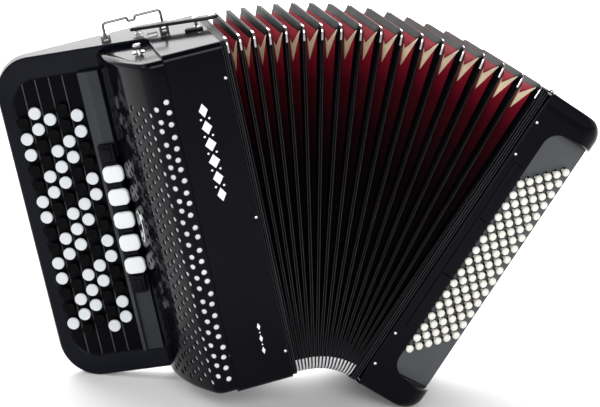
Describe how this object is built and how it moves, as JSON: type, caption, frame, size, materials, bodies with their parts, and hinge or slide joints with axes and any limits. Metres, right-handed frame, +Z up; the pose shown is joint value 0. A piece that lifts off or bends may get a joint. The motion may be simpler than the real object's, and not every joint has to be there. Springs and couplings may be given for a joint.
{
  "type": "chromatic button accordion",
  "caption": "Chromatic button accordion standing with its bellows fanned open; five treble rows, Stradella bass board, register tabs.",
  "frame": {"origin": "on the surface it stands on, under the middle of its bounding box", "axes": "+X from the treble keyboard to the bass side, +Y from the listener's side to the player's side, +Z up"},
  "size_m": [0.6954, 0.1851, 0.4644],
  "materials": {
    "gloss_black_celluloid": "high gloss celluloid lacquer",
    "sealed_spruce": "sanded spruce",
    "silver_cloth": "woven silver-grey speaker cloth",
    "satin_rail": "satin moulding",
    "black_tape": "satin bookbinding tape over board",
    "nickel_wire": "bright nickel plate",
    "black_leather": "grained black leather",
    "white_tab": "moulded white",
    "treble_button": "moulded button plastic",
    "bass_button": "ivory button plastic",
    "satin_grey_board": "satin grey lacquer",
    "rubber_foot": "moulded rubber"
  },
  "bodies": {
    "treble": {"treble_casing": "gloss_black_celluloid", "pallet_board": "sealed_spruce", "treble_grille": "gloss_black_celluloid", "grille_cloth": "silver_cloth", "keyboard_tray": "gloss_black_celluloid", "keyboard_rail": "satin_rail", "register_housing": "gloss_black_celluloid", "treble_bellows_frame": "black_tape", "treble_reed_blocks": "sealed_spruce", "valve_levers": "nickel_wire", "bellows_straps": "black_leather", "treble_fasteners": "nickel_wire", "bracket_base": "nickel_wire", "grille_badge": "nickel_wire", "lower_strap_eye": "nickel_wire"},
    "strap_bracket": {"strap_bracket": "nickel_wire"},
    "register_tab_1": {"register_tab_1": "white_tab"},
    "register_tab_2": {"register_tab_2": "white_tab"},
    "register_tab_3": {"register_tab_3": "white_tab"},
    "register_tab_4": {"register_tab_4": "white_tab"},
    "register_tab_5": {"register_tab_5": "white_tab"},
    "treble_row_1": {"treble_row_1": "treble_button"},
    "treble_row_2": {"treble_row_2": "treble_button"},
    "treble_row_3": {"treble_row_3": "treble_button"},
    "treble_row_4": {"treble_row_4": "treble_button"},
    "treble_row_5": {"treble_row_5": "treble_button"},
    "fold_01": {"fold_01": "black_tape"},
    "fold_02": {"fold_02": "black_tape"},
    "fold_03": {"fold_03": "black_tape"},
    "fold_04": {"fold_04": "black_tape"},
    "fold_05": {"fold_05": "black_tape"},
    "fold_06": {"fold_06": "black_tape"},
    "fold_07": {"fold_07": "black_tape"},
    "fold_08": {"fold_08": "black_tape"},
    "fold_09": {"fold_09": "black_tape"},
    "fold_10": {"fold_10": "black_tape"},
    "fold_11": {"fold_11": "black_tape"},
    "fold_12": {"fold_12": "black_tape"},
    "fold_13": {"fold_13": "black_tape"},
    "fold_14": {"fold_14": "black_tape"},
    "fold_15": {"fold_15": "black_tape"},
    "fold_16": {"fold_16": "black_tape"},
    "bass": {"bass_casing": "gloss_black_celluloid", "bass_bellows_frame": "black_tape", "bass_button_board": "satin_grey_board", "bass_strap": "black_leather", "bass_reed_blocks": "sealed_spruce", "bass_feet": "rubber_foot", "bass_pins": "nickel_wire"},
    "bass_row_1": {"bass_row_1": "bass_button"},
    "bass_row_2": {"bass_row_2": "bass_button"},
    "bass_row_3": {"bass_row_3": "bass_button"},
    "bass_row_4": {"bass_row_4": "bass_button"},
    "bass_row_5": {"bass_row_5": "bass_button"},
    "bass_row_6": {"bass_row_6": "bass_button"},
    "strap_wheel": {"strap_wheel": "nickel_wire"},
    "air_button": {"air_button": "bass_button"},
    "bass_register_1": {"bass_register_1": "gloss_black_celluloid"},
    "bass_register_2": {"bass_register_2": "gloss_black_celluloid"},
    "bass_register_3": {"bass_register_3": "gloss_black_celluloid"}
  },
  "joints": [
    {"name": "strap_bracket_hinge", "type": "hinge", "parent": "treble", "child": "strap_bracket", "pos_m": [-0.19348, 0.051, 0.43173], "axis": [0.9673, 0, 0.2538], "range_deg": [-75, 45]},
    {"name": "register_1_press", "type": "slide", "parent": "treble", "child": "register_tab_1", "axis": [0.3623, 0.9272, 0.0951], "range_m": [0, 0.0016], "stiffness_N_per_m": 600},
    {"name": "register_2_press", "type": "slide", "parent": "treble", "child": "register_tab_2", "axis": [0.3623, 0.9272, 0.0951], "range_m": [0, 0.0016], "stiffness_N_per_m": 600},
    {"name": "register_3_press", "type": "slide", "parent": "treble", "child": "register_tab_3", "axis": [0.3623, 0.9272, 0.0951], "range_m": [0, 0.0016], "stiffness_N_per_m": 600},
    {"name": "register_4_press", "type": "slide", "parent": "treble", "child": "register_tab_4", "axis": [0.3623, 0.9272, 0.0951], "range_m": [0, 0.0016], "stiffness_N_per_m": 600},
    {"name": "register_5_press", "type": "slide", "parent": "treble", "child": "register_tab_5", "axis": [0.3623, 0.9272, 0.0951], "range_m": [0, 0.0016], "stiffness_N_per_m": 600},
    {"name": "treble_row_1_press", "type": "slide", "parent": "treble", "child": "treble_row_1", "axis": [0.3623, 0.9272, 0.0951], "range_m": [0, 0.003], "stiffness_N_per_m": 500, "springref_m": -0.001},
    {"name": "treble_row_2_press", "type": "slide", "parent": "treble", "child": "treble_row_2", "axis": [0.3623, 0.9272, 0.0951], "range_m": [0, 0.003], "stiffness_N_per_m": 500, "springref_m": -0.001},
    {"name": "treble_row_3_press", "type": "slide", "parent": "treble", "child": "treble_row_3", "axis": [0.3623, 0.9272, 0.0951], "range_m": [0, 0.003], "stiffness_N_per_m": 500, "springref_m": -0.001},
    {"name": "treble_row_4_press", "type": "slide", "parent": "treble", "child": "treble_row_4", "axis": [0.3623, 0.9272, 0.0951], "range_m": [0, 0.003], "stiffness_N_per_m": 500, "springref_m": -0.001},
    {"name": "treble_row_5_press", "type": "slide", "parent": "treble", "child": "treble_row_5", "axis": [0.3623, 0.9272, 0.0951], "range_m": [0, 0.003], "stiffness_N_per_m": 500, "springref_m": -0.001},
    {"name": "bellows_hinge_01", "type": "hinge", "parent": "treble", "child": "fold_01", "pos_m": [-0.00367, 0, 0.05041], "axis": [0, 1, 0], "range_deg": [-1.63, 0.59]},
    {"name": "bellows_hinge_02", "type": "hinge", "parent": "fold_01", "child": "fold_02", "pos_m": [-0.00012, 0, 0.05124], "axis": [0, 1, 0], "range_deg": [-1.83, 0.67]},
    {"name": "bellows_hinge_03", "type": "hinge", "parent": "fold_02", "child": "fold_03", "pos_m": [0.00346, 0, 0.05195], "axis": [0, 1, 0], "range_deg": [-2.02, 0.73]},
    {"name": "bellows_hinge_04", "type": "hinge", "parent": "fold_03", "child": "fold_04", "pos_m": [0.00706, 0, 0.05254], "axis": [0, 1, 0], "range_deg": [-2.19, 0.8]},
    {"name": "bellows_hinge_05", "type": "hinge", "parent": "fold_04", "child": "fold_05", "pos_m": [0.01069, 0, 0.05299], "axis": [0, 1, 0], "range_deg": [-2.35, 0.85]},
    {"name": "bellows_hinge_06", "type": "hinge", "parent": "fold_05", "child": "fold_06", "pos_m": [0.01432, 0, 0.05329], "axis": [0, 1, 0], "range_deg": [-2.5, 0.91]},
    {"name": "bellows_hinge_07", "type": "hinge", "parent": "fold_06", "child": "fold_07", "pos_m": [0.01797, 0, 0.05343], "axis": [0, 1, 0], "range_deg": [-2.64, 0.96]},
    {"name": "bellows_hinge_08", "type": "hinge", "parent": "fold_07", "child": "fold_08", "pos_m": [0.02162, 0, 0.05341], "axis": [0, 1, 0], "range_deg": [-2.76, 1]},
    {"name": "bellows_hinge_09", "type": "hinge", "parent": "fold_08", "child": "fold_09", "pos_m": [0.02526, 0, 0.05321], "axis": [0, 1, 0], "range_deg": [-2.87, 1.04]},
    {"name": "bellows_hinge_10", "type": "hinge", "parent": "fold_09", "child": "fold_10", "pos_m": [0.02889, 0, 0.05283], "axis": [0, 1, 0], "range_deg": [-2.96, 1.07]},
    {"name": "bellows_hinge_11", "type": "hinge", "parent": "fold_10", "child": "fold_11", "pos_m": [0.0325, 0, 0.05226], "axis": [0, 1, 0], "range_deg": [-3.05, 1.1]},
    {"name": "bellows_hinge_12", "type": "hinge", "parent": "fold_11", "child": "fold_12", "pos_m": [0.03607, 0, 0.0515], "axis": [0, 1, 0], "range_deg": [-3.12, 1.13]},
    {"name": "bellows_hinge_13", "type": "hinge", "parent": "fold_12", "child": "fold_13", "pos_m": [0.03959, 0, 0.05055], "axis": [0, 1, 0], "range_deg": [-3.18, 1.15]},
    {"name": "bellows_hinge_14", "type": "hinge", "parent": "fold_13", "child": "fold_14", "pos_m": [0.04306, 0, 0.04941], "axis": [0, 1, 0], "range_deg": [-3.22, 1.17]},
    {"name": "bellows_hinge_15", "type": "hinge", "parent": "fold_14", "child": "fold_15", "pos_m": [0.04646, 0, 0.04807], "axis": [0, 1, 0], "range_deg": [-3.25, 1.18]},
    {"name": "bellows_hinge_16", "type": "hinge", "parent": "fold_15", "child": "fold_16", "pos_m": [0.04977, 0, 0.04655], "axis": [0, 1, 0], "range_deg": [-3.27, 1.18]},
    {"name": "bellows_hinge_17", "type": "hinge", "parent": "fold_16", "child": "bass", "pos_m": [0.053, 0, 0.04483], "axis": [0, 1, 0], "range_deg": [-3.27, 1.18]},
    {"name": "bass_row_1_press", "type": "slide", "parent": "bass", "child": "bass_row_1", "axis": [-0.3203, 0.9272, 0.1943], "range_m": [0, 0.003], "stiffness_N_per_m": 500, "springref_m": -0.001},
    {"name": "bass_row_2_press", "type": "slide", "parent": "bass", "child": "bass_row_2", "axis": [-0.3203, 0.9272, 0.1943], "range_m": [0, 0.003], "stiffness_N_per_m": 500, "springref_m": -0.001},
    {"name": "bass_row_3_press", "type": "slide", "parent": "bass", "child": "bass_row_3", "axis": [-0.3203, 0.9272, 0.1943], "range_m": [0, 0.003], "stiffness_N_per_m": 500, "springref_m": -0.001},
    {"name": "bass_row_4_press", "type": "slide", "parent": "bass", "child": "bass_row_4", "axis": [-0.3203, 0.9272, 0.1943], "range_m": [0, 0.003], "stiffness_N_per_m": 500, "springref_m": -0.001},
    {"name": "bass_row_5_press", "type": "slide", "parent": "bass", "child": "bass_row_5", "axis": [-0.3203, 0.9272, 0.1943], "range_m": [0, 0.003], "stiffness_N_per_m": 500, "springref_m": -0.001},
    {"name": "bass_row_6_press", "type": "slide", "parent": "bass", "child": "bass_row_6", "axis": [-0.3203, 0.9272, 0.1943], "range_m": [0, 0.003], "stiffness_N_per_m": 500, "springref_m": -0.001},
    {"name": "strap_wheel_turn", "type": "hinge", "parent": "bass", "child": "strap_wheel", "pos_m": [0.32419, 0.041, 0.36103], "axis": [0.5187, 0, 0.8549], "continuous": true},
    {"name": "air_button_press", "type": "slide", "parent": "bass", "child": "air_button", "axis": [-0.8549, 0, 0.5187], "range_m": [0, 0.003], "stiffness_N_per_m": 400, "springref_m": -0.001},
    {"name": "bass_register_1_press", "type": "slide", "parent": "bass", "child": "bass_register_1", "axis": [0, 1, 0], "range_m": [0, 0.002], "stiffness_N_per_m": 600, "springref_m": -0.001},
    {"name": "bass_register_2_press", "type": "slide", "parent": "bass", "child": "bass_register_2", "axis": [0, 1, 0], "range_m": [0, 0.002], "stiffness_N_per_m": 600, "springref_m": -0.001},
    {"name": "bass_register_3_press", "type": "slide", "parent": "bass", "child": "bass_register_3", "axis": [0, 1, 0], "range_m": [0, 0.002], "stiffness_N_per_m": 600, "springref_m": -0.001}
  ],
  "couplings": [
    {"joint": "bellows_hinge_01", "follows": "bellows_hinge_17", "ratio": 0.49541},
    {"joint": "bellows_hinge_02", "follows": "bellows_hinge_17", "ratio": 0.55652},
    {"joint": "bellows_hinge_03", "follows": "bellows_hinge_17", "ratio": 0.61368},
    {"joint": "bellows_hinge_04", "follows": "bellows_hinge_17", "ratio": 0.66689},
    {"joint": "bellows_hinge_05", "follows": "bellows_hinge_17", "ratio": 0.71617},
    {"joint": "bellows_hinge_06", "follows": "bellows_hinge_17", "ratio": 0.7615},
    {"joint": "bellows_hinge_07", "follows": "bellows_hinge_17", "ratio": 0.8029},
    {"joint": "bellows_hinge_08", "follows": "bellows_hinge_17", "ratio": 0.84035},
    {"joint": "bellows_hinge_09", "follows": "bellows_hinge_17", "ratio": 0.87385},
    {"joint": "bellows_hinge_10", "follows": "bellows_hinge_17", "ratio": 0.90342},
    {"joint": "bellows_hinge_11", "follows": "bellows_hinge_17", "ratio": 0.92904},
    {"joint": "bellows_hinge_12", "follows": "bellows_hinge_17", "ratio": 0.95072},
    {"joint": "bellows_hinge_13", "follows": "bellows_hinge_17", "ratio": 0.96846},
    {"joint": "bellows_hinge_14", "follows": "bellows_hinge_17", "ratio": 0.98226},
    {"joint": "bellows_hinge_15", "follows": "bellows_hinge_17", "ratio": 0.99212},
    {"joint": "bellows_hinge_16", "follows": "bellows_hinge_17", "ratio": 0.99803}
  ]
}
